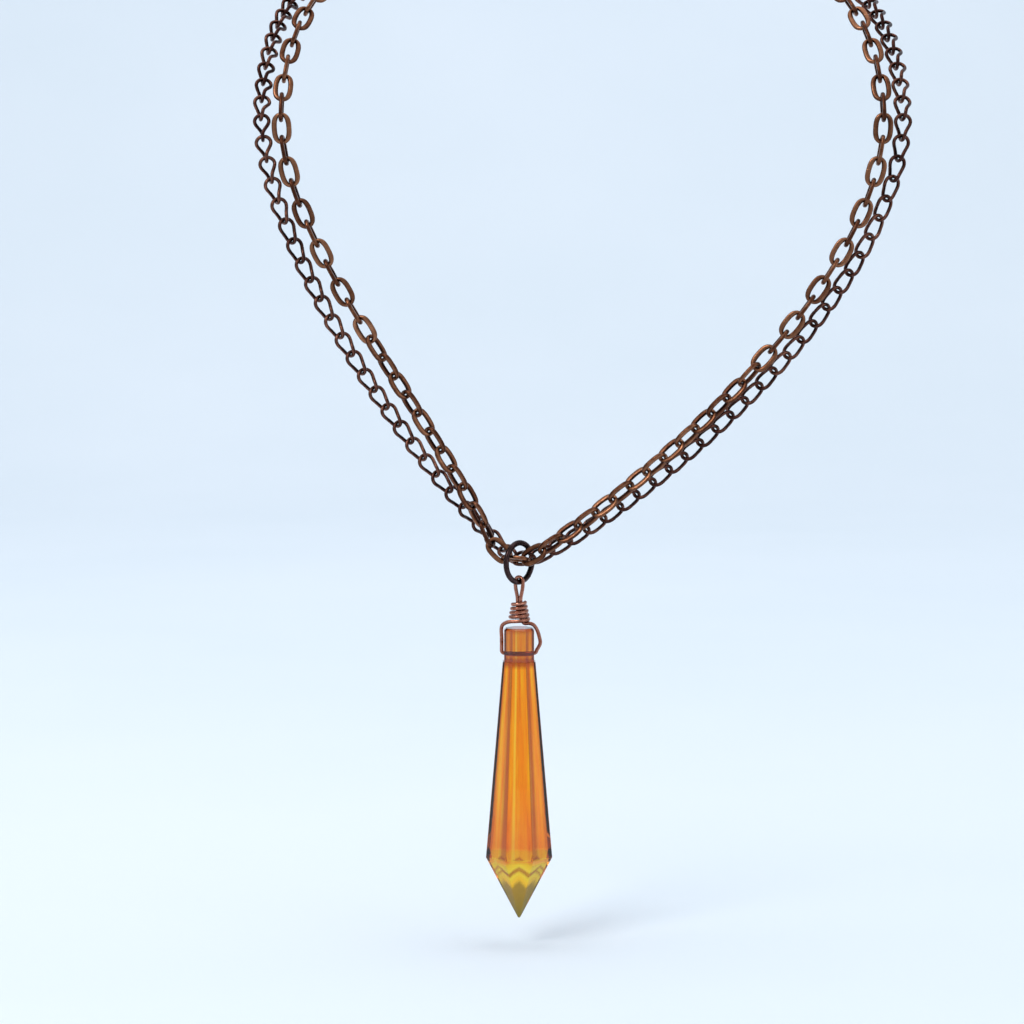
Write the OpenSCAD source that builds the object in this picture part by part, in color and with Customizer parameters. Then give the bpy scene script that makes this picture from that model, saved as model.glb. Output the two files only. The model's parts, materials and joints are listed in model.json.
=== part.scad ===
// Pendant necklace. A flat cable chain and a thinner curb chain lie side by side. Both pass
// through one large jump ring, which carries a wire-wrapped bail and an eight-sided icicle
// crystal. At the nape both chains end in jump rings, joined by a lobster clasp.
// The necklace hangs as it does when worn. The origin is where the loop rests on the nape,
// +X is to the right as seen from the front, +Y points backwards and +Z is up.
// "left" and "right" are as seen from the front.

/* [Loop] */
// How far the nape lies behind the front strands
nape_back = 64; // [58:1:68]
// How far the nape lies above the shoulders
nape_rise = 45; // [42:1:50]
// Half the width between the cable strands at the shoulders
shoulder_half = 63.4; // [63:0.1:64]
// How far outside the cable chain the curb chain runs at the shoulders
strand_gap = 4.1; // [4.1:0.1:5]
// Sideways place of the pendant, which has slid off the centre
pendant_x = -13.28; // [-13.33:0.01:-13.23]
// How far the strands lean back from upright where they pass the shoulders
neck_lean = 24; // [18:1:28]

/* [Cable chain] */
// Length of a cable link outside
cable_len = 6.62; // [6.6:0.01:6.7]
// Width of a cable link outside
cable_w = 4.2; // [4.1:0.05:4.25]
// Thickness of the wire at the ends of a cable link
cable_wire = 0.92; // [0.85:0.01:0.94]
// Width of the flattened sides of a cable link
cable_flat = 1.12; // [0.95:0.01:1.15]
// Thickness of the flattened sides of a cable link
cable_thick = 0.8; // [0.6:0.01:0.82]

/* [Curb chain] */
// Length of a curb link outside
curb_len = 6.1; // [6.05:0.01:6.15]
// Radius of the round ends of a curb link, to the middle of the wire
curb_end_r = 1.62; // [1.58:0.01:1.64]
// Thickness of the curb wire
curb_wire = 0.78; // [0.7:0.01:0.79]
// Twist of each end of a curb link out of its middle plane
curb_twist = 36; // [34:1:38]

/* [Pendant ring] */
// Outside diameter of the large jump ring
ring_od = 9.6; // [9.5:0.05:9.7]
// Thickness of its wire
ring_wire = 1.22; // [1.1:0.01:1.24]
// How far it is turned about the upright from facing the front
ring_turn = 49; // [48:1:50]
// Width of the saw cut where its ends meet
ring_cut = 0.12; // [0.05:0.01:0.2]

/* [Bail] */
// Thickness of the copper wrapping wire
bail_wire_d = 0.8; // [0.7:0.01:0.82]
// Turns in the wrap
wrap_turns = 4.3; // [4.3:1:5.3]
// Height from one turn to the next
wrap_pitch = 0.9; // [0.86:0.01:0.92]
// Radius of the top turn, to the middle of the wire
wrap_top_r = 1.3; // [1.28:0.01:1.4]
// Radius of the bottom turn, to the middle of the wire
wrap_low_r = 2.05; // [1.9:0.01:2.2]
// Height from the pendant ring's wire down to the drilled hole
hole_drop = 15.3; // [15.2:0.1:15.6]

/* [Crystal] */
// Width of the cap across its flats
cap_w = 6.4; // [6.2:0.1:6.5]
// Height of the cap above the hole
cap_above = 5.5; // [5:0.1:5.6]
// Height of the cap below the hole
cap_below = 1.7; // [1.5:0.1:2]
// Width of the body across its flats where it leaves the cap
body_top_w = 7; // [6.8:0.1:7.5]
// Width of the body across its flats at its widest
body_low_w = 14.2; // [12:0.1:16]
// Length of the body
body_len = 42; // [30:1:50]
// Length of the pyramid under the body
tip_len = 14.2; // [10:0.1:18]
// Radius of the drilled hole
hole_r = 0.5; // [0.48:0.01:0.55]

/* [Clasp] */
// Thickness of the lobster clasp
clasp_thick = 2.4; // [2.2:0.1:2.8]
// Outside diameter of the jump rings at the chain ends
end_ring_od = 6.4; // [6.2:0.1:6.6]
// Thickness of their wire
end_ring_wire = 1; // [0.9:0.01:1.05]

/* [Hidden] */
$fn = 48;
// Smallest gap left between two pieces that touch on the real necklace
gap = 0.06;
// The line through both shoulders that the front swings about lies along X here.
swing_y = -nape_back;
swing_z = -nape_rise;
cable_pitch = cable_len - 2 * cable_wire - gap;
curb_pitch = curb_len - 2 * curb_wire - gap;
FRONT = [0, -1, 0];
// Links in one node
run_of_links = 10;

// Copper browns, as the patina leaves them
CABLE_BROWN = [0.36, 0.22, 0.14];
CURB_BROWN = [0.29, 0.17, 0.13];
GUNMETAL = [0.17, 0.13, 0.14];
COPPER = [0.62, 0.33, 0.22];
AMBER = [1, 0.5, 0.03, 0.75];
STEEL = [0.6, 0.6, 0.6];

// ---- curves ----
function bez(p, t) = let (u = 1 - t)
    u * u * u * p[0] + 3 * u * u * t * p[1] + 3 * u * t * t * p[2] + t * t * t * p[3];
function curve(p, steps) = [for (i = [0:steps]) bez(p, i / steps)];
function tail(p) = [for (i = [1:1:len(p) - 1]) p[i]];
function reversed(p) = [for (i = [len(p) - 1:-1:0]) p[i]];
function last(p) = p[len(p) - 1];
function unit(v) = v / norm(v);
function across(v, d) = unit(v - (v * d) * d);
// Distance run at each point of a line of points
function runs(p) = [for (i = 0, s = 0; i < len(p); i = i + 1,
                         s = i < len(p) ? s + norm(p[i] - p[i - 1]) : s) s];
// The points at the distances in s along a line of points
function places(p, s) = let (
    r = runs(p),
    axes = [for (k = [0:2]) [for (i = [0:len(p) - 1]) [r[i], p[i][k]]]])
    [for (d = s) [for (k = [0:2]) lookup(d, axes[k])]];
// A face direction carried along the joints of a chain without twisting
function carried(j, face) = [
    for (i = 0, u = across(face, unit(j[1] - j[0])); i < len(j) - 1; i = i + 1,
         u = i < len(j) - 1 ? across(u, unit(j[i + 1] - j[i])) : u) u];
// The turn about d that takes u to v
function turn_to(u, v, d) = atan2(cross(u, v) * d, u * v);

// ---- front strands ----
// A strand leaves the low point of the V on an arc and climbs to a shoulder. side is -1 or 1,
// and lie gives its offset along Y against the distance run.
function front_line(side, low, round_r, slope, reach, rise, half, drop, lie) = let (
    at = [low[0], swing_y, swing_z + low[1]],
    arc = [for (i = [0:8]) let (a = slope * i / 8)
        at + round_r * [side * sin(a), 0, 1 - cos(a)]],
    top = [side * half, swing_y, swing_z - drop],
    climb = curve([last(arc), last(arc) + reach * [side * cos(slope), 0, sin(slope)],
                   top - [0, 0, rise], top], 80),
    flat = concat(arc, tail(climb)),
    r = runs(flat))
    [for (i = [0:len(flat) - 1]) flat[i] + [0, lookup(r[i], lie), 0]];
// The joints between its links: half a link from the low point, then whole links
function front_joints(line, pitch) = let (
    total = last(runs(line)),
    n = ceil(total / pitch - 0.5))
    places(line, [for (k = [0:n]) (k + 0.5) * total / (n + 0.5)]);

cable_low = [-13.88, -94.11];
cable_round = 5.62;
cable_drop = (cable_wire + gap) / 2;
curb_low = [-12.44, -94.16];
curb_round = 5.73;
curb_drop = (curb_wire + gap) / 2;
curb_half = shoulder_half + strand_gap;

// How far each strand lies behind the swing line, against the distance from its low point. The
// strands part inside the pendant ring and lie one behind the other further up.
cable_left_lie = [[0, -0.25], [2.4, 0.6], [6, 1.45], [14, 0.3], [26, -1.3], [44, -1.4],
    [70, -0.7], [104, -0.1]];
cable_right_lie = [[0, -0.25], [2.4, -1.79], [6, -3.32], [14, -3], [30, -2.2], [60, -1.4],
    [104, -0.8], [124, -0.1]];
curb_left_lie = [[0, 1.1], [2.2, 3.65], [6, 6.38], [12, 4.6], [18, 3], [28, 1.9], [48, 1.2],
    [70, 0.7], [104, 0.1]];
curb_right_lie = [[0, 1.1], [2.2, 0.6], [6, 0.29], [14, 0.4], [30, 1.2], [60, 1.2], [104, 0.8],
    [124, 0.1]];

cable_left = front_joints(front_line(-1, cable_low, cable_round, 66, 33, 27, shoulder_half,
    cable_drop, cable_left_lie), cable_pitch);
cable_right = front_joints(front_line(1, cable_low, cable_round, 32, 28, 36, shoulder_half,
    cable_drop, cable_right_lie), cable_pitch);
curb_left = front_joints(front_line(-1, curb_low, curb_round, 46, 37.5, 24, curb_half,
    curb_drop, curb_left_lie), curb_pitch);
curb_right = front_joints(front_line(1, curb_low, curb_round, 22, 20, 40, curb_half,
    curb_drop, curb_right_lie), curb_pitch);

// Cable links stand at right angles to their neighbours. At the shoulders the last front link
// faces the front, so that its end is the pin that the front swings on.
function square_on(n) = n % 2 == 0 ? 0 : 90;
cable_mid_roll = 73.8;
cable_left_rolls = [[0, cable_mid_roll], [1, 103.9], [3, 45], [11, 45],
    [14, square_on(len(cable_left) - 1)]];
cable_right_rolls = [[0, cable_mid_roll], [1, 54.9], [3, 45], [13, 45],
    [16, square_on(len(cable_right) - 1)]];
// Curb links all lie one way. The last turns until its upper end lies along X.
curb_mid_roll = -4.4;
function curb_rolls(n) = [[0, curb_mid_roll], [4, 0], [n - 5, 0], [n, -curb_twist]];

// ---- nape strands ----
// The clasp's tail eye is at clasp_x and its hook eye hook_x further right. Each jump ring
// is drawn up against the outer side of its eye.
end_ring_r = (end_ring_od - end_ring_wire) / 2;
clasp_x = -3.77;
hook_x = 7.2;
left_ring_x = clasp_x - 0.27 - end_ring_r;
right_ring_x = clasp_x + hook_x + 0.5 + end_ring_r;
// The links hang on the ring's inside, the cable link in front of the curb link.
link_seat = end_ring_r - end_ring_wire / 2 - gap / 2;
cable_seat_angle = -34;
curb_seat_angle = 12;
// How strongly a nape strand holds its direction as it leaves a shoulder and as it reaches its
// end ring
nape_leave = 44;
cable_reach = 34;
curb_reach = 40;

// A nape strand climbs from a shoulder and comes round to the end ring.
function nape_line(side, half, drop, seat, reach, ring_x) = let (
    up = [0, sin(neck_lean), cos(neck_lean)],
    foot = [side * half, swing_y, swing_z] - drop * up,
    hook = [ring_x + side * link_seat * cos(seat), link_seat * sin(seat), 0])
    curve([foot, foot + nape_leave * up,
        hook + reach * [side * cos(seat), sin(seat), -0.12], hook], 80);
function nape_joints(line, pitch) = let (
    total = last(runs(line)),
    n = ceil(total / pitch))
    places(line, [for (k = [0:n]) k * total / n]);

cable_left_nape = nape_joints(nape_line(-1, shoulder_half, cable_drop, cable_seat_angle,
    cable_reach, left_ring_x), cable_pitch);
cable_right_nape = nape_joints(nape_line(1, shoulder_half, cable_drop, cable_seat_angle,
    cable_reach, right_ring_x), cable_pitch);
curb_left_nape = nape_joints(nape_line(-1, curb_half, curb_drop, curb_seat_angle,
    curb_reach, left_ring_x), curb_pitch);
curb_right_nape = nape_joints(nape_line(1, curb_half, curb_drop, curb_seat_angle,
    curb_reach, right_ring_x), curb_pitch);

// ---- links ----
// Places a link between two joints: z along the chain, y out of its face before the roll
module at_link(a, b, face, roll) {
    d = unit(b - a);
    y = across(face, d);
    x = cross(y, d);
    c = (a + b) / 2;
    multmatrix([[x.x, y.x, d.x, c.x], [x.y, y.y, d.y, c.y], [x.z, y.z, d.z, c.z]])
        rotate([0, 0, roll]) children();
}

// A cable link: round wire at the ends, flattened along both sides
module cable_link() {
    end_r = (cable_w - cable_wire) / 2;
    straight = cable_len - cable_w;
    for (turn = [0, 180]) rotate([90, 0, 0]) rotate([0, 0, turn])
        translate([0, straight / 2, 0]) rotate_extrude(angle = 180)
            translate([end_r, 0]) circle(d = cable_wire);
    for (side = [-1, 1]) translate([side * (cable_w - cable_flat) / 2, 0, 0])
        cube([cable_flat, cable_thick, straight], center = true);
}

// A curb link: its two round ends are twisted opposite ways out of the middle plane
module curb_link() {
    end_z = (curb_len - curb_wire) / 2 - curb_end_r;
    for (end = [-1, 1]) rotate([0, 0, end * curb_twist]) translate([0, 0, end * end_z])
        rotate([90, 0, 0]) rotate([0, 0, end < 0 ? 180 : 0]) rotate_extrude(angle = 180)
            translate([curb_end_r, 0]) circle(d = curb_wire);
    for (side = [-1, 1]) {
        x = side * curb_end_r * cos(curb_twist);
        y = side * curb_end_r * sin(curb_twist);
        translate([x, 0, 0]) rotate([-atan2(y, end_z), 0, 0])
            cylinder(d = curb_wire, h = 2.16 * norm([y, end_z]), center = true);
    }
}

// Links first to last of a cable strand. Link k lies between joints k - 1 and k.
module cable_run(joints, face, rolls, first, final) {
    faces = carried(joints, face);
    for (k = [first:min(final, len(joints) - 1)])
        at_link(joints[k - 1], joints[k], faces[k - 1], lookup(k, rolls) + 90 * k) cable_link();
}
module curb_run(joints, face, rolls, first, final) {
    faces = carried(joints, face);
    for (k = [first:min(final, len(joints) - 1)])
        at_link(joints[k - 1], joints[k], faces[k - 1], lookup(k, rolls)) curb_link();
}

// A nape link's rolls run evenly to the last, whose end bar stands upright in the end ring.
function bar_roll(joints) = let (
    n = len(joints) - 1,
    y = carried(joints, FRONT)[n - 1],
    d = unit(joints[n] - joints[n - 1]))
    turn_to(cross(y, d), across([0, 0, 1], d), d);
// The same turn less whole half turns, as near to start as possible
function nearest(turn, start) = turn - 180 * round((turn - start) / 180);
function cable_nape_rolls(joints) = let (n = len(joints) - 1)
    [[1, 0], [n, nearest(bar_roll(joints) - 90 * n, 0)]];
function curb_nape_rolls(joints) = let (n = len(joints) - 1)
    [[1, -curb_twist], [n, nearest(bar_roll(joints) - curb_twist, -curb_twist)]];

// ---- bent wire ----
// Points along a smooth curve through p
function through(p, steps) = concat([
    for (i = [0:len(p) - 2]) for (k = [0:steps - 1])
        bez([p[i], p[i] + (p[i + 1] - p[max(i - 1, 0)]) / 6,
             p[i + 1] - (p[min(i + 2, len(p) - 1)] - p[i]) / 6, p[i + 1]], k / steps)],
    [last(p)]);

// Round wire along a path, as a closed eight-sided tube
module bent_wire(path, d, start) {
    n = len(path);
    sides = 8;
    ways = [for (i = [0:n - 1]) unit(path[min(i + 1, n - 1)] - path[max(i - 1, 0)])];
    outs = [for (i = 0, u = across(start, ways[0]); i < n; i = i + 1,
                 u = i < n ? across(u, ways[i]) : u) u];
    skin = [for (i = [0:n - 1]) for (k = [0:sides - 1]) let (a = 360 * k / sides)
        path[i] + d / 2 * (cos(a) * outs[i] + sin(a) * cross(ways[i], outs[i]))];
    walls = [for (i = [0:n - 2]) for (k = [0:sides - 1]) for (half = [0, 1]) let (
        low = i * sides + k,
        next = i * sides + (k + 1) % sides)
        half == 0 ? [low, low + sides, next + sides] : [low, next + sides, next]];
    foot = [for (k = [0:sides - 1]) k];
    head = [for (k = [sides - 1:-1:0]) (n - 1) * sides + k];
    polyhedron(skin, concat([foot, head], walls));
}

// ---- pendant ring ----
ring_r = (ring_od - ring_wire) / 2;
// How far its centre hangs below the shoulders
ring_depth = 94.6;
ring_cut_at = -42;
ring_center = [pendant_x, swing_y, swing_z - ring_depth];
RING_WAY = [cos(ring_turn), sin(ring_turn), 0];
RING_FACE = [sin(ring_turn), -cos(ring_turn), 0];
// Where the bail hangs on the ring
ring_foot = ring_center - [0, 0, ring_r];

module round_ring(r, wire, cut, cut_at) {
    cut_angle = cut / r * 180 / PI;
    rotate([0, 0, cut_at + cut_angle / 2]) rotate_extrude(angle = 360 - cut_angle)
        translate([r, 0]) circle(d = wire);
}
module pendant_ring() color(GUNMETAL)
    translate(ring_center) rotate([0, 0, ring_turn]) rotate([90, 0, 0])
        round_ring(ring_r, ring_wire, ring_cut, ring_cut_at);

// ---- bail ----
// One wire, from the free end at the top of the wrap, down the wrap, along the left leg,
// through the crystal, up the right leg, through the wrap, over the ring and back into the wrap.
stem_off = bail_wire_d / 2 + 0.02;
eye_r = (ring_wire + bail_wire_d) / 2 + gap;
wrap_top = -4.35;
wrap_foot = wrap_top - wrap_turns * wrap_pitch;
// The wrap ends at the front left.
wrap_end = 250;
// How far the legs stand out from the middle of the cap at the hole
leg_x = 3.74;
// Radius of the bends that turn the legs into the hole
bend_r = 0.6;
// How far inside the hole each bent end reaches the straight length between them
pin_reach = 2.6;

function wrap_point(t) = let (
    a = wrap_end + 360 * wrap_turns * (1 - t),
    r = wrap_top_r + (wrap_low_r - wrap_top_r) * t)
    [r * cos(a), r * sin(a), wrap_top + (wrap_foot - wrap_top) * t];
function stem(side, z) = side * stem_off * RING_FACE + [0, 0, z];
function leg_bend(side) = [for (a = [0:15:90])
    [side * (leg_x - bend_r + bend_r * cos(a)), 0, bend_r - hole_drop - bend_r * sin(a)]];

wrap_path = [for (i = [0:90]) wrap_point(i / 90)];
left_leg = through([last(wrap_path), [-2.35, -1.35, wrap_foot - 0.2],
    [-3.5, -0.9, wrap_foot - 0.85], [-3.82, -0.5, wrap_foot - 2], [-3.74, -0.2, wrap_foot - 3.8],
    [-leg_x, 0, bend_r - hole_drop]], 5);
right_leg = through([[leg_x, 0, bend_r - hole_drop], [4.5, -0.1, 2.1 - hole_drop],
    [4.3, -0.15, 3.6 - hole_drop], [3.85, -0.2, 5 - hole_drop], [3.1, -0.25, 6.1 - hole_drop],
    [2.1, -0.27, wrap_foot - 0.6], [1.1, -0.27, wrap_foot - 0.6],
    stem(1, wrap_foot + 0.5) + 0.08 * RING_FACE, stem(1, wrap_foot + 1.4)], 5);
eye_side = curve([[stem_off, 0, wrap_top + 0.3], [stem_off, 0, -2.6], [eye_r, 0, -2.1],
    [eye_r, 0, 0]], 10);
eye = concat(eye_side, [for (a = [15:15:165]) [eye_r * cos(a), 0, eye_r * sin(a)]],
    [for (p = reversed(eye_side)) [-p.x, 0, p.z]]);

module bail_wire() color(COPPER) translate(ring_foot) {
    bent_wire(concat(wrap_path, tail(left_leg),
        tail(leg_bend(-1)), [[-pin_reach, 0, -hole_drop]]), bail_wire_d, [0, 0, 1]);
    translate([0, 0, -hole_drop]) rotate([0, 90, 0])
        cylinder(d = bail_wire_d + 0.04, h = 2 * (leg_x - bend_r), center = true);
    bent_wire(concat([[pin_reach, 0, -hole_drop]], reversed(leg_bend(1)),
        tail(right_leg), [for (p = eye) p.x * RING_FACE + [0, 0, p.z]],
        [stem(-1, wrap_foot + 0.9)]), bail_wire_d, [0, 0, 1]);
}

// ---- crystal ----
tip_round = 0.35;
cap_edge = 0.45;

// Half of the crystal's outline across its flats, from the tip up. Heights are from the hole.
function crystal_outline() = let (
    body_foot = -cap_below - body_len,
    lean = atan2(body_low_w / 2, tip_len),
    middle = body_foot - tip_len + tip_round / sin(lean))
    concat(
        [for (a = [-90:15:-lean]) [tip_round * cos(a), middle + tip_round * sin(a)]],
        [[body_low_w / 2, body_foot], [body_top_w / 2, -cap_below], [cap_w / 2, -cap_below],
         [cap_w / 2, cap_above - cap_edge], [cap_w / 2 - cap_edge, cap_above], [0, cap_above]]);

module crystal_prism() color(AMBER) translate(ring_foot - [0, 0, hole_drop]) difference() {
    rotate([0, 0, 22.5]) rotate_extrude($fn = 8) polygon(
        [for (p = crystal_outline()) [p.x / cos(22.5), p.y]]);
    rotate([0, 90, 0]) cylinder(r = hole_r, h = 2 * cap_w, center = true);
}

// ---- end rings ----
module end_ring(x, cut_at) color(CABLE_BROWN) translate([x, 0, 0])
    round_ring(end_ring_r, end_ring_wire, ring_cut, cut_at);
module end_ring_left() end_ring(left_ring_x, 75);
module end_ring_right() end_ring(right_ring_x, 105);

// ---- clasp ----
// Drawn in the XZ plane from the tail eye, with the hook eye at hook_x
hook_in = 1.7;
hook_out = 3.1;
tail_in = 0.95;
tail_out = 1.75;
tail_thick = 1.6;
pivot = [3, -0.6];
rivet_r = 0.4;
lever_thick = 0.8;
slot_thick = 1.3;
gate = [200, 252];

module upright(thick) translate([clasp_x, 0, 0]) rotate([90, 0, 0])
    linear_extrude(thick, center = true) children();
module at_pivot() translate([clasp_x + pivot.x, 0, pivot.y]) rotate([90, 0, 0]) children();
module sector(from, to, r) polygon(concat([[0, 0]],
    [for (a = [from:(to - from) / 4:to]) r * [cos(a), sin(a)]]));

module clasp_body() color(STEEL) {
    difference() {
        union() {
            upright(clasp_thick) {
                translate([hook_x, 0]) circle(r = hook_out);
                translate([1.3, -1.7]) square([4, 3]);
            }
            upright(tail_thick) {
                circle(r = tail_out);
                translate([0, -1.3]) square([1.5, 2.4]);
            }
        }
        upright(2 * clasp_thick) {
            circle(r = tail_in);
            translate([hook_x, 0]) circle(r = hook_in);
            translate([hook_x, 0]) difference() {
                sector(gate[0], gate[1], 2 * hook_out);
                circle(r = hook_in - 0.1);
            }
        }
        upright(slot_thick)
            polygon([[1.9, -4], [1.9, -0.4], [2.4, 0.3], [3.2, 0.5], [6.5, 1.5], [6.5, -4]]);
        at_pivot() cylinder(r = rivet_r + 0.01, h = 2 * clasp_thick, center = true);
    }
}
module clasp_lever() color(STEEL) difference() {
    union() {
        at_pivot() cylinder(r = 0.85, h = lever_thick, center = true);
        upright(lever_thick) difference() {
            intersection() {
                translate([hook_x, 0]) circle(r = 2.9);
                translate([hook_x, 0]) sector(gate[0] + 4, gate[1] - 3, 2 * hook_out);
            }
            translate([hook_x, 0]) circle(r = 1.9);
        }
        upright(lever_thick) polygon([pivot + [0, 0.8], [5.3, -0.35], [5.35, -1.5],
            pivot + [0.4, -0.75], [2.6, -3.2], [1.7, -3.2], pivot + [-0.8, 0.1]]);
    }
    at_pivot() cylinder(r = rivet_r + 0.06, h = 2 * clasp_thick, center = true);
}
module clasp_rivet() color(STEEL) at_pivot()
    cylinder(r = rivet_r, h = clasp_thick + 0.2, center = true);
// The lever's spring, drawn as one turn with a leg along the lever
module clasp_spring() color(GUNMETAL) at_pivot() {
    spring_wire = 0.16;
    spring_r = 0.6;
    translate([0, 0, -0.51]) {
        rotate_extrude() translate([spring_r, 0]) circle(d = spring_wire);
        translate([-0.05, spring_r - 0.02, 0]) rotate([0, 90, 0])
            cylinder(d = spring_wire - 0.03, h = 1.5);
    }
}

// ---- chain runs ----
module cable_middle() color(CABLE_BROWN)
    at_link(cable_left[0], cable_right[0], FRONT, cable_mid_roll) cable_link();
module curb_middle() color(CURB_BROWN)
    at_link(curb_left[0], curb_right[0], FRONT, curb_mid_roll) curb_link();

// Part i of a strand, run_of_links links long
module cable_part(joints, rolls, i) color(CABLE_BROWN)
    cable_run(joints, FRONT, rolls, (i - 1) * run_of_links + 1, i * run_of_links);
module curb_part(joints, rolls, i) color(CURB_BROWN)
    curb_run(joints, FRONT, rolls, (i - 1) * run_of_links + 1, i * run_of_links);

module cable_front_left_1() cable_part(cable_left, cable_left_rolls, 1);
module cable_front_left_2() cable_part(cable_left, cable_left_rolls, 2);
module cable_front_left_3() cable_part(cable_left, cable_left_rolls, 3);
module cable_front_right_1() cable_part(cable_right, cable_right_rolls, 1);
module cable_front_right_2() cable_part(cable_right, cable_right_rolls, 2);
module cable_front_right_3() cable_part(cable_right, cable_right_rolls, 3);
module curb_front_left_1() curb_part(curb_left, curb_rolls(len(curb_left) - 1), 1);
module curb_front_left_2() curb_part(curb_left, curb_rolls(len(curb_left) - 1), 2);
module curb_front_left_3() curb_part(curb_left, curb_rolls(len(curb_left) - 1), 3);
module curb_front_right_1() curb_part(curb_right, curb_rolls(len(curb_right) - 1), 1);
module curb_front_right_2() curb_part(curb_right, curb_rolls(len(curb_right) - 1), 2);
module curb_front_right_3() curb_part(curb_right, curb_rolls(len(curb_right) - 1), 3);
module cable_nape_left_1() cable_part(cable_left_nape, cable_nape_rolls(cable_left_nape), 1);
module cable_nape_left_2() cable_part(cable_left_nape, cable_nape_rolls(cable_left_nape), 2);
module cable_nape_left_3() cable_part(cable_left_nape, cable_nape_rolls(cable_left_nape), 3);
module cable_nape_right_1() cable_part(cable_right_nape, cable_nape_rolls(cable_right_nape), 1);
module cable_nape_right_2() cable_part(cable_right_nape, cable_nape_rolls(cable_right_nape), 2);
module cable_nape_right_3() cable_part(cable_right_nape, cable_nape_rolls(cable_right_nape), 3);
module curb_nape_left_1() curb_part(curb_left_nape, curb_nape_rolls(curb_left_nape), 1);
module curb_nape_left_2() curb_part(curb_left_nape, curb_nape_rolls(curb_left_nape), 2);
module curb_nape_left_3() curb_part(curb_left_nape, curb_nape_rolls(curb_left_nape), 3);
module curb_nape_right_1() curb_part(curb_right_nape, curb_nape_rolls(curb_right_nape), 1);
module curb_nape_right_2() curb_part(curb_right_nape, curb_nape_rolls(curb_right_nape), 2);
module curb_nape_right_3() curb_part(curb_right_nape, curb_nape_rolls(curb_right_nape), 3);

crystal_prism();
bail_wire();
pendant_ring();
cable_middle();
curb_middle();
cable_front_left_1();
cable_front_left_2();
cable_front_left_3();
cable_front_right_1();
cable_front_right_2();
cable_front_right_3();
curb_front_left_1();
curb_front_left_2();
curb_front_left_3();
curb_front_right_1();
curb_front_right_2();
curb_front_right_3();
cable_nape_left_1();
cable_nape_left_2();
cable_nape_left_3();
cable_nape_right_1();
cable_nape_right_2();
cable_nape_right_3();
curb_nape_left_1();
curb_nape_left_2();
curb_nape_left_3();
curb_nape_right_1();
curb_nape_right_2();
curb_nape_right_3();
end_ring_left();
end_ring_right();
clasp_body();
clasp_lever();
clasp_rivet();
clasp_spring();
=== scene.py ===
import json
import math
import random
import bmesh
import bpy
import numpy as np
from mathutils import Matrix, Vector


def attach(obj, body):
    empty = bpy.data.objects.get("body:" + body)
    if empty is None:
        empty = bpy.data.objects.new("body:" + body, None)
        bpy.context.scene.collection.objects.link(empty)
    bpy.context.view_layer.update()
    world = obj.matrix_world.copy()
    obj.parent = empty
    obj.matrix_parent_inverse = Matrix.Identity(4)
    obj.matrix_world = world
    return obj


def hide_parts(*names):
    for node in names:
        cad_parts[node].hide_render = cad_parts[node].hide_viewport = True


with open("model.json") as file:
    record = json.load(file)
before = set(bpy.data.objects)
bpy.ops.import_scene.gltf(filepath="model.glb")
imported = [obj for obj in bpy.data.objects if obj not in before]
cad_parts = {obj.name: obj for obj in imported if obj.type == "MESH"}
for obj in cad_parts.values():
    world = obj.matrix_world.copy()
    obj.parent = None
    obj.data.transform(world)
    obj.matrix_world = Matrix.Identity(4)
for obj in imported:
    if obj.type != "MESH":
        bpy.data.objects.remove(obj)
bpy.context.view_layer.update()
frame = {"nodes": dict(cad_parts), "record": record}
record = frame["record"]
BODY_OF = {n: b for b, names in record["behaviour"]["bodies"].items() for n in names}
SLOT_OF = {s["node"]: s["material_slot"] for s in record["subparts"]}
rng = random.Random(7)
MM = 0.001

# Sizes and places below are in millimetres, in the CAD frame.
UP = np.array([0.0, 0.0, 1.0])
# The swing line through both shoulders
SWING = np.array([0.0, -64.0, -45.0])

# The pendant ring: its middle, its turn from facing the front, and the ways along and out of its face
RING_AT = np.array([-13.28, SWING[1], SWING[2] - 94.6])
RING_R, RING_WIRE, RING_CUT_AT = 4.19, 1.21, -42
TURN = math.radians(49)
WAY = np.array([math.cos(TURN), math.sin(TURN), 0.0])
FACE = np.array([math.sin(TURN), -math.cos(TURN), 0.0])
# Where the bail hangs on the ring, and the drilled hole below it
FOOT = RING_AT - UP * RING_R
HOLE_DROP = 15.3
HOLE = FOOT - UP * HOLE_DROP

# The crystal's half widths across its flats, and its heights from the hole
CAP_HALF, TOP_HALF, GIRDLE_HALF = 3.2, 3.5, 7.1
CAP_ABOVE, CAP_BELOW, BODY_LEN, TIP_LEN = 5.5, 1.7, 42.0, 14.2
GIRDLE_Z = -CAP_BELOW - BODY_LEN
TIP_Z = GIRDLE_Z - TIP_LEN

END_RING_R, END_RING_WIRE = 2.7, 0.99


# ---------- mesh helpers ----------
def unit(v):
    return v / np.linalg.norm(v, axis=-1, keepdims=True)


def carried(tangents, start):
    """Directions across a path, carried along it without twisting."""
    out = []
    u = start
    for t in tangents:
        u = u - t * np.dot(u, t)
        u = u / np.linalg.norm(u)
        out.append(u)
    return np.array(out)


def path_tangents(path, closed):
    if closed:
        return unit(np.roll(path, -1, axis=0) - np.roll(path, 1, axis=0))
    return unit(np.gradient(path, axis=0))


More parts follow.
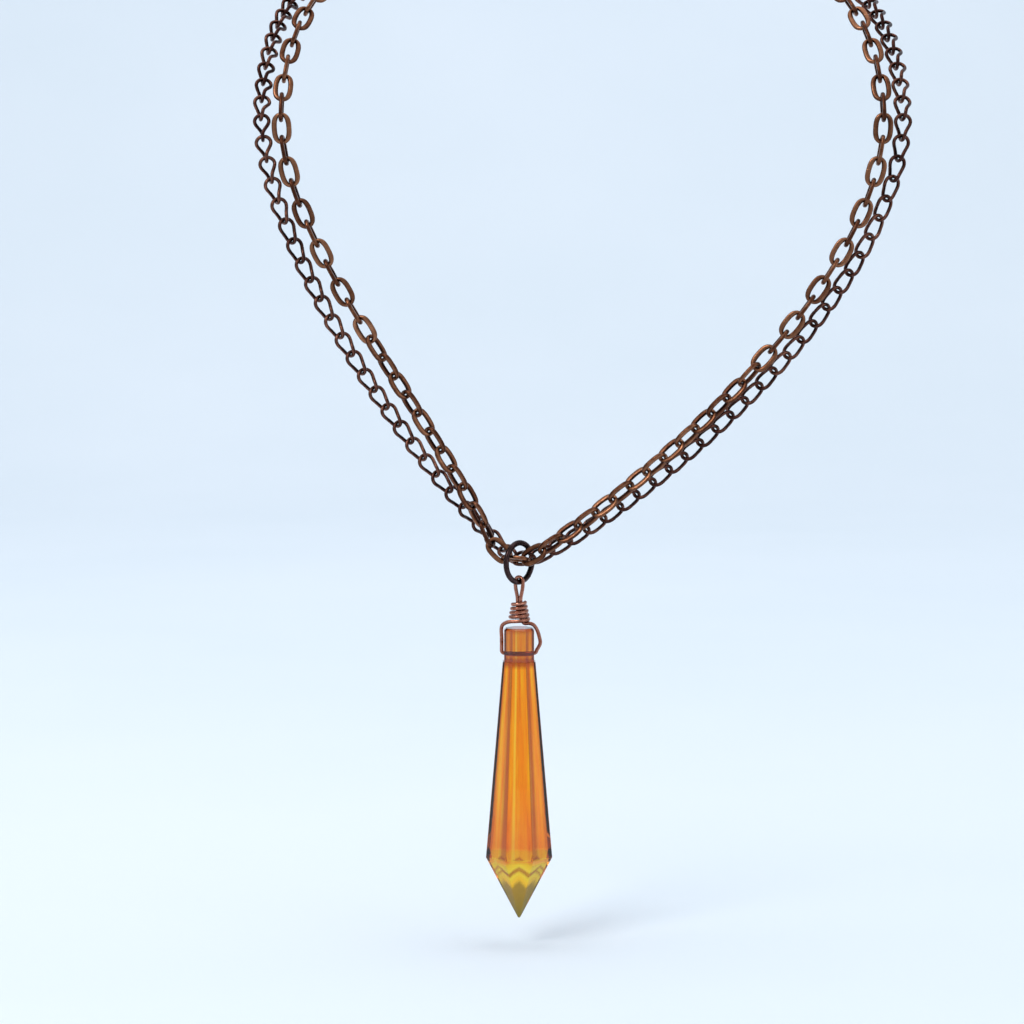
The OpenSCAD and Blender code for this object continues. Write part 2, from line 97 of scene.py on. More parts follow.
class Skin:
    """Vertices, faces and point attributes collected for one piece."""

    def __init__(self):
        self.v, self.f, self.wear, self.tone = [], [], [], []

    def sweep(self, path, across, a, b, sides=14, power=2.0, closed=True, tone=0.5):
        """A tube along path. across points out of the loop, a and b are the half sizes along it and
        square to it, and a power over 2 makes the section squarer."""
        n = len(path)
        a = np.broadcast_to(a, n)
        b = np.broadcast_to(b, n)
        power = np.broadcast_to(power, n)
        t = path_tangents(path, closed)
        across = unit(across - t * np.sum(across * t, axis=1, keepdims=True))
        up = np.cross(t, across)
        ang = np.arange(sides) * 2 * math.pi / sides
        c, s = np.cos(ang), np.sin(ang)
        base = len(self.v)
        for i in range(n):
            e = 2.0 / power[i]
            cx = np.sign(c) * np.abs(c) ** e
            sx = np.sign(s) * np.abs(s) ** e
            ring = path[i] + (a[i] * cx)[:, None] * across[i] + (b[i] * sx)[:, None] * up[i]
            self.v.extend(ring.tolist())
            # Painted light on top of the rubbed metal: the two flat faces and the outer side are lit up as a
            # painted highlight, and the inner side towards the hole is darkened as painted shade.
            shade = 0.32 + 0.5 * np.abs(s) ** 2 + 0.2 * np.clip(c, 0, 1) - 0.3 * np.clip(-c, 0, 1)
            self.wear.extend(shade.tolist())
            self.tone.extend([tone] * sides)
        for i in range(n if closed else n - 1):
            j = (i + 1) % n
            for k in range(sides):
                m = (k + 1) % sides
                low, high = base + i * sides, base + j * sides
                self.f.append((low + k, low + m, high + m, high + k))
        if not closed:
            self.cap(base, sides, path[0], -t[0], min(a[0], b[0]), tone, True)
            self.cap(base + (n - 1) * sides, sides, path[-1], t[-1], min(a[-1], b[-1]), tone, False)

    def cap(self, first, sides, center, out, r, tone, flip):
        """A cut end with its rim eased."""
        rim = np.array(self.v[first:first + sides])
        inner = len(self.v)
        ring = center + (rim - center) * 0.82 + out * r * 0.12
        self.v.extend(ring.tolist())
        self.v.append((center + out * r * 0.15).tolist())
        self.wear.extend([0.8] * (sides + 1))
        self.tone.extend([tone] * (sides + 1))
        mid = len(self.v) - 1
        for k in range(sides):
            m = (k + 1) % sides
            q = (first + k, inner + k, inner + m, first + m)
            w = (inner + k, mid, inner + m)
            self.f.append(q if flip else q[::-1])
            self.f.append(w if flip else w[::-1])

    def place(self, other, origin, axes, tone):
        """Adds another skin, its local x, y, z turned to the rows of axes."""
        base = len(self.v)
        self.v.extend((np.array(other.v) @ axes + origin).tolist())
        self.f.extend([tuple(base + k for k in f) for f in other.f])
        self.wear.extend(other.wear)
        self.tone.extend([tone] * len(other.v))

    def build(self, name):
        me = bpy.data.meshes.new(name)
        me.from_pydata(self.v, [], self.f)
        me.attributes.new("wear", "FLOAT", "POINT").data.foreach_set("value", self.wear)
        me.attributes.new("tone", "FLOAT", "POINT").data.foreach_set("value", self.tone)
        bm = bmesh.new()
        bm.from_mesh(me)
        bmesh.ops.recalc_face_normals(bm, faces=bm.faces)
        bm.to_mesh(me)
        bm.free()
        me.shade_smooth()
        o = bpy.data.objects.new(name, me)
        bpy.context.collection.objects.link(o)
        return o


def stand_in(o, node, material):
    """Gives a piece its material and lets it stand for a CAD node."""
    o.data.materials.clear()
    o.data.materials.append(material)
    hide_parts(node)
    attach(o, BODY_OF[node])


def current(o):
    """The object's mesh with its modifiers applied, which are then removed."""
    me = bpy.data.meshes.new_from_object(o.evaluated_get(bpy.context.evaluated_depsgraph_get()))
    o.modifiers.clear()
    return me


def islands(node):
    """Centre and axes of each separate solid of a CAD node."""
    ob = frame["nodes"][node]
    bm = bmesh.new()
    bm.from_mesh(ob.data)
    bmesh.ops.transform(bm, matrix=ob.matrix_world, verts=bm.verts)
    bmesh.ops.remove_doubles(bm, verts=bm.verts, dist=2e-6)
    bmesh.ops.triangulate(bm, faces=bm.faces)
    seen = set()
    out = []
    for start in bm.faces:
        if start in seen:
            continue
        group, stack = [], [start]
        seen.add(start)
        while stack:
            f = stack.pop()
            group.append([v.co[:] for v in f.verts])
            for e in f.edges:
                for g in e.link_faces:
                    if g not in seen:
                        seen.add(g)
                        stack.append(g)
        tri = np.array(group)
        area = np.linalg.norm(np.cross(tri[:, 1] - tri[:, 0], tri[:, 2] - tri[:, 0]), axis=1) / 2
        c = (tri.mean(axis=1) * area[:, None]).sum(axis=0) / area.sum()
        q = tri - c
        total = q.sum(axis=1)
        m = np.einsum("t,ti,tj->ij", area, total, total) + np.einsum("t,tki,tkj->ij", area, q, q)
        ways = np.linalg.eigh(m)[1]
        z, x = ways[:, 2], ways[:, 1]
        y = np.cross(z, x)
        out.append((c, np.array([x, y, z])))
    bm.free()
    out.sort(key=lambda p: (round(p[0][0], 5), round(p[0][2], 5)))
    return out


# ---------- materials ----------
def new_material(name):
    m = bpy.data.materials.new(name)
    m.use_nodes = True
    nt = m.node_tree
    return m, nt, nt.nodes["Principled BSDF"]


def add(nt, kind, **inputs):
    n = nt.nodes.new(kind)
    for k, v in inputs.items():
        n.inputs[k.replace("_", " ")].default_value = v
    return n


def ramp(nt, fac, stops):
    n = nt.nodes.new("ShaderNodeValToRGB")
    el = n.color_ramp.elements
    while len(el) < len(stops):
        el.new(0.5)
    for e, (pos, col) in zip(el, stops):
        e.position = pos
        e.color = (*col, 1)
    nt.links.new(fac, n.inputs["Fac"])
    return n.outputs["Color"]


def math_node(nt, op, a, b, clamp=False):
    n = nt.nodes.new("ShaderNodeMath")
    n.operation = op
    n.use_clamp = clamp
    for k, v in enumerate((a, b)):
        if isinstance(v, (int, float)):
            n.inputs[k].default_value = v
        else:
            nt.links.new(v, n.inputs[k])
    return n.outputs[0]


def noise(nt, co, scale, detail=3.0, rough=0.55, stretch=None):
    n = add(nt, "ShaderNodeTexNoise", Scale=scale, Detail=detail, Roughness=rough)
    src = co
    if stretch:
        mp = nt.nodes.new("ShaderNodeMapping")
        mp.inputs["Scale"].default_value = stretch
        nt.links.new(co, mp.inputs["Vector"])
        src = mp.outputs["Vector"]
    nt.links.new(src, n.inputs["Vector"])
    return n.outputs["Fac"]


def attribute(nt, name):
    n = nt.nodes.new("ShaderNodeAttribute")
    n.attribute_name = name
    return n.outputs["Fac"]


def mapped(nt, value, low, high, to_low=0.0, to_high=1.0):
    n = add(nt, "ShaderNodeMapRange", From_Min=low, From_Max=high, To_Min=to_low, To_Max=to_high)
    nt.links.new(value, n.inputs["Value"])
    return n.outputs["Result"]


def spread(nt, fac, low, high):
    """A noise, which mostly lies between 0.3 and 0.7, spread over a range."""
    return mapped(nt, fac, 0.3, 0.7, low, high)


def mixed(nt, fac, a, b):
    n = nt.nodes.new("ShaderNodeMix")
    n.data_type = "RGBA"
    nt.links.new(fac, n.inputs["Factor"])
    nt.links.new(a, n.inputs["A"])
    if isinstance(b, tuple):
        n.inputs["B"].default_value = (*b, 1)
    else:
        nt.links.new(b, n.inputs["B"])
    return n.outputs["Result"]


def bump(nt, bsdf, height, strength, distance):
    n = nt.nodes.new("ShaderNodeBump")
    n.inputs["Strength"].default_value = strength
    n.inputs["Distance"].default_value = distance
    nt.links.new(height, n.inputs["Height"])
    nt.links.new(n.outputs["Normal"], bsdf.inputs["Normal"])


def patina(name, crevice_patina_and_shade, body, worn_and_highlight, rough=(0.3, 0.5), grain=0.3, wear_gain=0.55):
    """Plated metal darkened by patina and rubbed brighter where it is handled; on swept wire the same channel
    also holds a painted highlight on the flat faces and outer side and painted shade on the inner side.
    """
    m, nt, bsdf = new_material(name)
    co = nt.nodes.new("ShaderNodeTexCoord").outputs["Object"]
    blotch = noise(nt, co, 700, 4)
    speck = noise(nt, co, 4200, 3, 0.7)
    wear = math_node(nt, "MULTIPLY", attribute(nt, "wear"), wear_gain)
    tone = math_node(nt, "MULTIPLY", attribute(nt, "tone"), 0.22)
    mix = math_node(nt, "ADD", wear, tone)
    mix = math_node(nt, "ADD", mix, math_node(nt, "MULTIPLY", blotch, 0.5))
    mix = math_node(nt, "ADD", mix, math_node(nt, "MULTIPLY", speck, 0.22))
    mix = math_node(nt, "SUBTRACT", mix, 0.32, True)
    # The ramp runs from dark patina deepened by painted shade, through the body colour, to rubbed metal
    # lifted by painted highlight.
    col = ramp(nt, mix, [(0.12, crevice_patina_and_shade), (0.42, body), (0.85, worn_and_highlight)])
    nt.links.new(col, bsdf.inputs["Base Color"])
    bsdf.inputs["Metallic"].default_value = 1.0
    nt.links.new(spread(nt, blotch, rough[1], rough[0]), bsdf.inputs["Roughness"])
    fine = math_node(nt, "ADD", speck, math_node(nt, "MULTIPLY", noise(nt, co, 11000, 2), 0.5))
    bump(nt, bsdf, fine, grain, 0.00003)
    return m


CABLE = patina("antique_copper_cable", (0.012, 0.004, 0.003), (0.095, 0.033, 0.017), (0.4, 0.18, 0.095),
               (0.22, 0.4))
CURB = patina("antique_copper_curb", (0.01, 0.004, 0.004), (0.055, 0.02, 0.016), (0.24, 0.1, 0.065),
              (0.22, 0.4))
RING = patina("gunmetal_ring", (0.01, 0.006, 0.006), (0.035, 0.02, 0.02), (0.16, 0.09, 0.09),
              (0.2, 0.36), 0.2, 0.4)
BAIL = patina("copper_wire", (0.05, 0.014, 0.009), (0.24, 0.08, 0.048), (0.66, 0.31, 0.22),
              (0.18, 0.34), 0.25, 0.6)
CLASP = patina("antique_copper_clasp", (0.05, 0.02, 0.012), (0.2, 0.09, 0.05), (0.5, 0.28, 0.17),
               (0.26, 0.44), 0.3, 0.5)
SPRING = patina("spring_wire", (0.1, 0.1, 0.1), (0.3, 0.3, 0.31), (0.6, 0.6, 0.6), (0.25, 0.35), 0.2)

BLACK = (0.0, 0.0, 0.0)


def grey(v):
    return (v, v, v)


def amber_colour_and_painted_light(nt, co):
    """The glass's colour with painted light on it: streaks along the body, painted shade in dark lines beside
    the long edges, a painted highlight line on each flat, painted shade in dark bands on the cap, and a
    zigzag of painted highlight and shade over an olive tip."""
    shift = nt.nodes.new("ShaderNodeVectorMath")
    shift.operation = "SUBTRACT"
    shift.inputs[1].default_value = HOLE * MM
    nt.links.new(co, shift.inputs[0])
    sep = nt.nodes.new("ShaderNodeSeparateXYZ")
    nt.links.new(shift.outputs["Vector"], sep.inputs["Vector"])
    x, y, z = sep.outputs
    girdle, tip = GIRDLE_Z * MM, TIP_Z * MM
    half = math_node(nt, "MULTIPLY", mapped(nt, z, girdle, -CAP_BELOW * MM, GIRDLE_HALF * MM, TOP_HALF * MM),
                     mapped(nt, z, tip, girdle, 0.02, 1.0))
    nx, ny = (math_node(nt, "DIVIDE", v, half) for v in (x, y))
    ax, ay = (math_node(nt, "ABSOLUTE", v, 0.0) for v in (nx, ny))

    lane = nt.nodes.new("ShaderNodeCombineXYZ")
    for k, v in enumerate((nx, ny, math_node(nt, "MULTIPLY", z, 9.0))):
        nt.links.new(v, lane.inputs[k])
    streak = noise(nt, lane.outputs["Vector"], 5.5, 5, 0.62)
    col = ramp(nt, streak, [(0.3, (0.75, 0.12, 0.0)), (0.44, (0.98, 0.27, 0.001)),
                            (0.57, (1.0, 0.4, 0.002)), (0.7, (1.0, 0.66, 0.01))])

    # The long edges lie where the smaller of ax and ay is 0.414, which the sum brings to 0.5.
    # Painted shade: a dark red line beside each long edge.
    beside = math_node(nt, "ADD", math_node(nt, "MINIMUM", ax, ay), 0.086)
    painted_edge_shade = ramp(nt, beside, [(0.47, BLACK), (0.5, grey(0.85)), (0.6, grey(0.85)), (0.72, BLACK)])
    col = mixed(nt, painted_edge_shade, col, (0.17, 0.012, 0.003))

    # Painted highlight: a bright yellow line down each flat, a little to one side of its middle.
    on_flat = math_node(nt, "GREATER_THAN", ay, ax)
    off = math_node(nt, "ADD", math_node(nt, "MULTIPLY", nx, on_flat),
                    math_node(nt, "MULTIPLY", ny, math_node(nt, "SUBTRACT", 1.0, on_flat)))
    glint = ramp(nt, math_node(nt, "ADD", off, 0.5),
                 [(0.25, BLACK), (0.3, grey(0.8)), (0.34, grey(0.8)), (0.39, BLACK)])
    col = mixed(nt, glint, col, (1.0, 0.68, 0.05))
    col = mixed(nt, mapped(nt, z, -34 * MM, girdle, 0.0, 0.3), col, (0.6, 0.08, 0.0))

    # Painted shade: the cap is darkened a little all over, and deeply in bands at its foot, along the hole
    # and at its top.
    bands = ramp(nt, mapped(nt, z, -3.2 * MM, 5.6 * MM),
                 [(0.0, BLACK), (0.1, grey(0.9)), (0.2, grey(0.9)), (0.25, grey(0.25)), (0.34, grey(0.85)),
                  (0.4, grey(0.25)), (0.85, grey(0.3)), (0.95, grey(0.9))])
    col = mixed(nt, bands, col, (0.3, 0.02, 0.0))

    # Painted highlight and shade over the tip: two bright yellow zigzag rows with a dark line between them,
    # then olive towards the point.
    facet = math_node(nt, "MULTIPLY", math_node(nt, "ARCTAN2", ny, nx), 4 / math.pi)
    zigzag = math_node(nt, "MULTIPLY", math_node(nt, "PINGPONG", math_node(nt, "ADD", facet, 8.5), 0.5), 0.24)
    down = math_node(nt, "ADD", mapped(nt, z, girdle, tip), zigzag)
    down = math_node(nt, "ADD", down, math_node(nt, "MULTIPLY", streak, 0.08))
    point = ramp(nt, down, [(0.03, (0.9, 0.2, 0.006)), (0.1, (1.0, 0.72, 0.01)), (0.23, (1.0, 0.9, 0.04)),
                            (0.27, (0.4, 0.1, 0.0)), (0.33, (1.0, 0.86, 0.03)), (0.45, (1.0, 0.66, 0.01)),
                            (0.52, (0.42, 0.29, 0.01)), (0.95, (0.3, 0.2, 0.008))])
    return mixed(nt, mapped(nt, z, girdle + 0.4 * MM, girdle - 0.3 * MM), col, point)


def amber_glass():
    m, nt, bsdf = new_material("amber_crystal")
    co = nt.nodes.new("ShaderNodeTexCoord").outputs["Object"]
    col = amber_colour_and_painted_light(nt, co)
    nt.links.new(col, bsdf.inputs["Base Color"])
    bsdf.inputs["Transmission Weight"].default_value = 1.0
    bsdf.inputs["IOR"].default_value = 1.52
    bsdf.inputs["Specular IOR Level"].default_value = 0.15
    smudge = noise(nt, co, 260, 3)
    nt.links.new(spread(nt, smudge, 0.0, 0.05), bsdf.inputs["Roughness"])
    wave = noise(nt, co, 130, 2, 0.5, (1, 1, 0.25))
    bump(nt, bsdf, wave, 0.12, 0.0001)
    vol = nt.nodes.new("ShaderNodeVolumeAbsorption")
    vol.inputs["Color"].default_value = (0.98, 0.58, 0.05, 1)
    vol.inputs["Density"].default_value = 50.0
    nt.links.new(vol.outputs["Volume"], nt.nodes["Material Output"].inputs["Volume"])
    return m


# ---------- chain links ----------
def dense(spans):
    return np.concatenate([np.linspace(a, b, n, endpoint=False) for a, b, n in spans])


def cable_link():
    """An oval of round wire, rolled flat along the sides, with a butt seam in one side."""
    half_w, half_l, power, wire_half = 1.56, 2.85, 2.6, 0.455
    ang = dense([(-0.5 * math.pi, -0.03, 34), (-0.03, 0.03, 8), (0.03, math.pi - 0.03, 68),
                 (math.pi - 0.03, math.pi + 0.03, 8), (math.pi + 0.03, 1.5 * math.pi, 34)])
    c, s = np.cos(ang), np.sin(ang)
    x = half_w * np.sign(c) * np.abs(c) ** (2 / power)
    z = half_l * np.sign(s) * np.abs(s) ** (2 / power)
    path = np.c_[x, 0 * x, z]
    # 0 round the ends, 1 along the sides
    flat = np.clip((np.abs(x) / half_w - 0.5) / 0.45, 0, 1)
    flat = flat * flat * (3 - 2 * flat)
    cut = 1 - 0.1 * np.where(x > 0, np.exp(-((z / 0.035) ** 2)), 0)
    across = np.c_[x / half_w ** 2, 0 * x, z / half_l ** 2]
    link = Skin()
    link.sweep(path * MM, across, (wire_half + 0.1 * flat) * cut * MM, (wire_half - 0.045 * flat) * cut * MM,
               16, 2 + flat)
    return link


def curb_link():
    """Round wire whose two ends are twisted out of the middle plane."""
    r, half, twist, wire_half = 1.62, 1.04, math.radians(36), 0.385
    arc = np.linspace(0, math.pi, 22)[:-1]
    pts = []
    for turn in (1, -1):
        c, s = math.cos(turn * twist), math.sin(turn * twist)
        for a in arc:
            x = turn * r * math.cos(a)
            pts.append([x * c, x * s, turn * (half + r * math.sin(a))])
        x = -turn * r
        lo = np.array([x * c, x * s, turn * half])
        hi = np.array([x * c, -x * s, -turn * half])
        for k in np.linspace(0, 1, 13)[:-1]:
            pts.append((lo + (hi - lo) * k).tolist())
    path = np.array(pts)
    reach = np.abs(path).max(axis=0)
    for _ in range(14):
        path = 0.5 * path + 0.25 * (np.roll(path, 1, axis=0) + np.roll(path, -1, axis=0))
    path *= reach / np.abs(path).max(axis=0)
    across = path * np.array([1, 1, 0.6])
    n = len(path)
    seam = np.zeros(n)
    seam[27] = 1
    size = wire_half * (1 - 0.1 * seam) * MM
    link = Skin()
    link.sweep(path * MM, across, size, size, 14)
    return link


LINKS = {"cable_chain": (cable_link(), CABLE), "curb_chain": (curb_link(), CURB)}
for node in sorted(BODY_OF):
    kind = SLOT_OF[node]
    if kind not in LINKS:
        continue
    link, material = LINKS[kind]
    skin = Skin()
    for c, axes in islands(node):
        skin.place(link, c, axes, rng.random())
    stand_in(skin.build(node + "_links"), node, material)


# ---------- rings ----------
def round_ring(center, u, v, r, wire, cut_at, cut=0.12, offset=0.0, sides=28):
    """An open ring in the plane of u and v. Its cut ends meet a little out of line."""
    gap = cut / r / 2
    a = np.linspace(math.radians(cut_at) + gap, math.radians(cut_at) + 2 * math.pi - gap, 130)
    n = np.cross(u, v)
    slip = np.linspace(-1, 1, len(a)) ** 15 * offset
    path = center + r * (np.cos(a)[:, None] * u + np.sin(a)[:, None] * v) + slip[:, None] * n
    out = path - center
    skin = Skin()
    skin.sweep(path * MM, out, wire / 2 * MM, wire / 2 * MM, sides, closed=False)
    return skin


ring = round_ring(RING_AT, WAY, UP, RING_R, RING_WIRE, RING_CUT_AT, offset=0.035)
stand_in(ring.build("ring_wire"), "pendant_ring", RING)
for node, x, cut_at in (("end_ring_left", -6.74, 75), ("end_ring_right", 6.63, 105)):
    ring = round_ring(np.array([x, 0.0, 0.0]), np.array([1.0, 0, 0]), np.array([0, 1.0, 0]),
                      END_RING_R, END_RING_WIRE, cut_at, offset=0.03, sides=20)
    stand_in(ring.build(node + "_wire"), node, CLASP)


# ---------- bail ----------
def bez(p, t):
    t = np.asarray(t)[:, None]
    p = [np.array(q, float) for q in p]
    return p[0] * (1 - t) ** 3 + 3 * p[1] * t * (1 - t) ** 2 + 3 * p[2] * t * t * (1 - t) + p[3] * t ** 3


def through(p, steps):
    """A smooth curve through the points."""
    p = [np.array(q, float) for q in p]
    out = []
    for i in range(len(p) - 1):
        a = p[i] + (p[i + 1] - p[max(i - 1, 0)]) / 6
        b = p[i + 1] - (p[min(i + 2, len(p) - 1)] - p[i]) / 6
        out.append(bez([p[i], a, b, p[i + 1]], np.linspace(0, 1, steps, endpoint=False)))
    out.append([p[-1]])
    return np.concatenate(out)


def bail():
    """One wire: down the wrap, the left leg, through the crystal, the right leg, over the ring and back."""
    drop, leg, bend = HOLE_DROP, 3.74, 0.6
    turns, pitch, top = 4.3, 0.9, -4.35
    foot = top - turns * pitch
    t = np.linspace(0, 1, 200)
    ang = np.radians(250 + 360 * turns * (1 - t))
    rad = 1.3 + 0.75 * t
    coil = np.c_[rad * np.cos(ang), rad * np.sin(ang), top + (foot - top) * t]
    left = through([coil[-1], [-2.35, -1.35, foot - 0.2], [-3.5, -0.9, foot - 0.85], [-3.82, -0.5, foot - 2],
                    [-3.74, -0.2, foot - 3.8], [-leg, 0, bend - drop]], 10)
    arc = np.radians(np.arange(0, 91, 10))
    low = np.c_[leg - bend + bend * np.cos(arc), 0 * arc, bend - drop - bend * np.sin(arc)]
    off = 0.42

    def stem(side, z):
        return side * off * FACE + UP * z

    right = through([[leg, 0, bend - drop], [4.5, -0.1, 2.1 - drop], [4.3, -0.15, 3.6 - drop],
                     [3.85, -0.2, 5 - drop], [3.1, -0.25, 6.1 - drop], [2.1, -0.27, foot - 0.6],
                     [1.1, -0.27, foot - 0.6], stem(1, foot + 0.5) + 0.08 * FACE, stem(1, foot + 1.4)], 10)
    side = bez([[off, 0, top + 0.3], [off, 0, -2.6], [1.07, 0, -2.1], [1.07, 0, 0]], np.linspace(0, 1, 16))
    crown = np.radians(np.arange(12, 169, 12))
    eye = np.concatenate([side, np.c_[1.07 * np.cos(crown), 0 * crown, 1.07 * np.sin(crown)],
                          (side * np.array([-1, 1, 1]))[::-1]])
    eye = eye[:, :1] * FACE + eye[:, 2:] * UP
    pin = np.linspace(-(leg - bend), leg - bend, 24)[1:-1]
    pin = np.c_[pin, 0 * pin, 0 * pin - drop]
    path = np.concatenate([coil[:-1], left, (low * np.array([-1, 1, 1]))[1:], pin, low[::-1][:-1], right, eye,
                           [stem(-1, foot + 0.9)]])
    run = np.concatenate([[0], np.cumsum(np.linalg.norm(np.diff(path, axis=0), axis=1))])
    keep = np.concatenate([[True], np.diff(run) > 1e-4])
    path, run = path[keep], run[keep]
    at = np.linspace(0, run[-1], 900)
    path = np.c_[tuple(np.interp(at, run, path[:, k]) for k in range(3))]
    smooth = path.copy()
    for _ in range(2):
        smooth[1:-1] = 0.5 * smooth[1:-1] + 0.25 * (smooth[2:] + smooth[:-2])
    wire = Skin()
    wire.sweep((smooth + FOOT) * MM, carried(path_tangents(smooth, False), UP), 0.4 * MM, 0.4 * MM, 18,
               closed=False)
    return wire


stand_in(bail().build("bail_copper_wire"), "bail_wire", BAIL)


# ---------- crystal ----------
def crystal():
    """Eight facets all the way, with softened edges and a drilled hole."""
    lean = math.atan2(GIRDLE_HALF, TIP_LEN)
    tip_r, cap_edge = 0.35, 0.45
    middle = TIP_Z + tip_r / math.sin(lean)
    line = [(tip_r * math.cos(a), middle + tip_r * math.sin(a)) for a in (math.radians(-60), -lean)]
    line += [(GIRDLE_HALF, GIRDLE_Z), (TOP_HALF, -CAP_BELOW), (CAP_HALF, -CAP_BELOW),
             (CAP_HALF, CAP_ABOVE - cap_edge), (CAP_HALF - cap_edge, CAP_ABOVE)]
    bm = bmesh.new()
    rings = []
    for half, z in line:
        r = half / math.cos(math.pi / 8)
        rings.append([bm.verts.new((r * math.cos(a), r * math.sin(a), z))
                      for a in (np.arange(8) + 0.5) * math.pi / 4])
    for lo, hi in zip(rings, rings[1:]):
        for k in range(8):
            bm.faces.new((lo[k], lo[(k + 1) % 8], hi[(k + 1) % 8], hi[k]))
    bm.faces.new(rings[0][::-1])
    bm.faces.new(rings[-1])
    bm.normal_update()
    bmesh.ops.bevel(bm, geom=[e for e in bm.edges if e.calc_length() > 2], offset=0.11, segments=2,
                    profile=0.6, affect="EDGES")
    bmesh.ops.recalc_face_normals(bm, faces=bm.faces)
    for v in bm.verts:
        v.co = Vector((np.array(v.co) + HOLE) * MM)
    me = bpy.data.meshes.new("crystal")
    bm.to_mesh(me)
    bm.free()
    ob = bpy.data.objects.new("crystal_facets", me)
    bpy.context.collection.objects.link(ob)
    bpy.ops.mesh.primitive_cylinder_add(vertices=40, radius=0.5 * MM, depth=12 * MM,
                                        location=Vector(HOLE * MM), rotation=(0, math.pi / 2, 0))
    drill = bpy.context.object
    mod = ob.modifiers.new("hole", "BOOLEAN")
    mod.operation, mod.object, mod.solver = "DIFFERENCE", drill, "EXACT"
    ob.data = current(ob)
    bpy.data.objects.remove(drill)
    return ob


stand_in(crystal(), "crystal_prism", amber_glass())


# ---------- clasp ----------
def solid_copy(node, name):
    """A CAD node's mesh as a new object, in millimetres."""
    src = frame["nodes"][node]
    bm = bmesh.new()
    bm.from_mesh(src.data)
    bmesh.ops.transform(bm, matrix=src.matrix_world, verts=bm.verts)
    bmesh.ops.remove_doubles(bm, verts=bm.verts, dist=2e-6)
    bmesh.ops.scale(bm, vec=(1 / MM,) * 3, verts=bm.verts)
    me = bpy.data.meshes.new(name)
    bm.to_mesh(me)
    bm.free()
    o = bpy.data.objects.new(name, me)
    bpy.context.collection.objects.link(o)
    return o


def points_of(me):
    co = np.empty(len(me.vertices) * 3)
    me.vertices.foreach_get("co", co)
    return co.reshape(-1, 3)


def cast(node, name, grain, rounds, material):
    """A CAD solid with its edges rounded as on cast and tumbled metal, and how far they were rubbed down
    marked on them.
    """
    o = solid_copy(node, name)
    skin = o.modifiers.new("skin", "REMESH")
    skin.mode, skin.voxel_size = "VOXEL", grain
    o.data = current(o)
    before = points_of(o.data)
    soft = o.modifiers.new("soft", "SMOOTH")
    soft.factor, soft.iterations = 0.5, rounds
    me = current(o)
    after = points_of(me)
    normal = np.empty(len(after) * 3)
    me.vertices.foreach_get("normal", normal)
    lost = np.sum((before - after) * normal.reshape(-1, 3), axis=1)
    me.vertices.foreach_set("co", (after * MM).ravel())
    me.update()
    wear = np.clip(0.45 + lost * 9, 0.05, 1.15)
    me.attributes.new("wear", "FLOAT", "POINT").data.foreach_set("value", wear)
    me.attributes.new("tone", "FLOAT", "POINT").data.foreach_set("value", [0.5] * len(after))
    me.shade_smooth()
    o.data = me
    stand_in(o, node, material)


cast("clasp_body", "clasp_shell", 0.08, 40, CLASP)
cast("clasp_lever", "clasp_gate", 0.06, 10, CLASP)
cast("clasp_rivet", "clasp_pin", 0.05, 4, CLASP)
cast("clasp_spring", "clasp_coil", 0.03, 1, SPRING)


# ---------- stage ----------
def backdrop():
    """Floor and wall in one sheet, joined by a curve. Sizes are in metres."""
    floor, front, bend_at, bend_r, top, half = -0.2225, -2.6, 1.0, 0.9, 3.2, 3.6
    prof = [(front, floor), (bend_at, floor)]
    for a in np.radians(np.arange(6, 91, 6)):
        prof.append((bend_at + bend_r * math.sin(a), floor + bend_r - bend_r * math.cos(a)))
    prof.append((bend_at + bend_r, top))
    v, f = [], []
    for y, z in prof:
        v += [(-half, y, z), (half, y, z)]
    for k in range(len(prof) - 1):
        f.append((2 * k, 2 * k + 1, 2 * k + 3, 2 * k + 2))
    me = bpy.data.meshes.new("backdrop")
    me.from_pydata(v, [], f)
    me.shade_smooth()
    o = bpy.data.objects.new("backdrop", me)
    bpy.context.collection.objects.link(o)
    m, nt, bsdf = new_material("pale_paper")
    co = nt.nodes.new("ShaderNodeTexCoord").outputs["Object"]
    col = ramp(nt, noise(nt, co, 3, 3), [(0.3, (0.76, 0.83, 0.9)), (0.7, (0.8, 0.86, 0.93))])
    nt.links.new(col, bsdf.inputs["Base Color"])
    bsdf.inputs["Roughness"].default_value = 0.85
    bump(nt, bsdf, noise(nt, co, 900, 3), 0.1, 0.0004)
    me.materials.append(m)


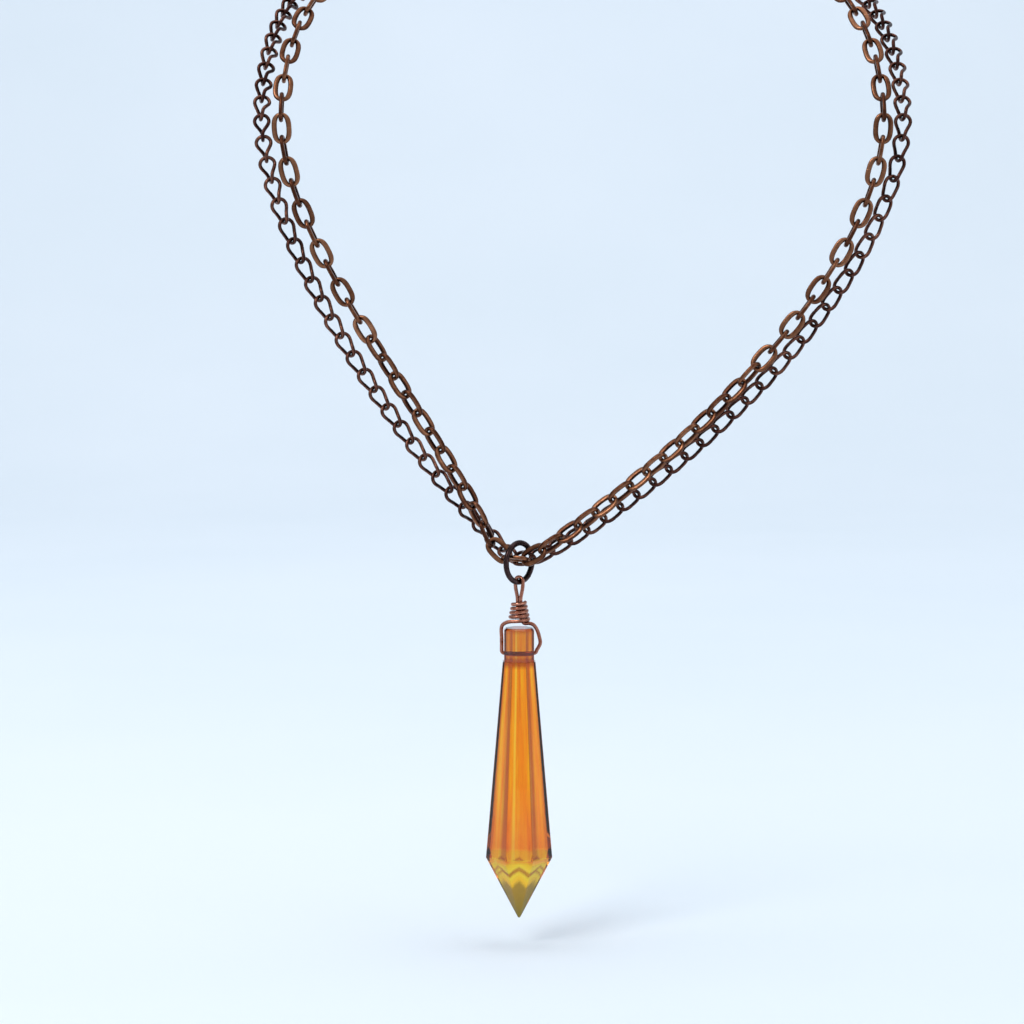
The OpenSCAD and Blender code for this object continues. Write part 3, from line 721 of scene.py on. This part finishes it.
def area(name, at, target, size, power, colour):
    light = bpy.data.lights.new(name, "AREA")
    light.shape = "RECTANGLE"
    light.size, light.size_y = size
    light.energy = power
    light.color = colour
    o = bpy.data.objects.new(name, light)
    o.location = at
    o.rotation_euler = (Vector(target) - Vector(at)).to_track_quat("-Z", "Y").to_euler()
    bpy.context.collection.objects.link(o)


backdrop()
# The point that the camera and the lights face
LOOK = Vector((-0.0148, -0.064, -0.1288))
area("key", (-0.6, -0.8, 0.8), LOOK, (0.5, 0.5), 6, (1.0, 0.985, 0.96))
area("fill", (0.95, -0.75, 0.15), LOOK, (0.7, 1.0), 2, (0.9, 0.95, 1.0))
area("wall_wash", (0.0, 0.2, 1.6), (0.0, 1.5, 0.1), (2.2, 1.2), 15, (0.93, 0.96, 1.0))
def studio_world():
    """Soft light all round, darker from below, so that round metal shows its shape."""
    world = bpy.data.worlds.new("studio")
    bpy.context.scene.world = world
    world.use_nodes = True
    nt = world.node_tree
    sky = nt.nodes["Background"]
    sky.inputs["Strength"].default_value = 0.7
    sep = nt.nodes.new("ShaderNodeSeparateXYZ")
    nt.links.new(nt.nodes.new("ShaderNodeTexCoord").outputs["Generated"], sep.inputs["Vector"])
    col = ramp(nt, mapped(nt, sep.outputs["Z"], -1, 1),
               [(0.3, (0.2, 0.22, 0.26)), (0.5, (0.6, 0.66, 0.74)), (0.75, (0.92, 0.97, 1.0))])
    nt.links.new(col, sky.inputs["Color"])


studio_world()

cam = bpy.data.cameras.new("camera")
camera = bpy.data.objects.new("camera", cam)
bpy.context.collection.objects.link(camera)
bpy.context.scene.camera = camera
# The camera's distance, its height above level, and half of the width that it sees at LOOK
DIST, TILT, HALF = 0.6, math.radians(5), 0.109
cam.sensor_width = 36
cam.lens = 18 * DIST / HALF
cam.clip_start = 0.01
camera.location = LOOK + Vector((0, -math.cos(TILT), math.sin(TILT))) * DIST
camera.rotation_euler = (LOOK - camera.location).to_track_quat("-Z", "Y").to_euler()
bpy.context.scene.view_settings.view_transform = "Standard"
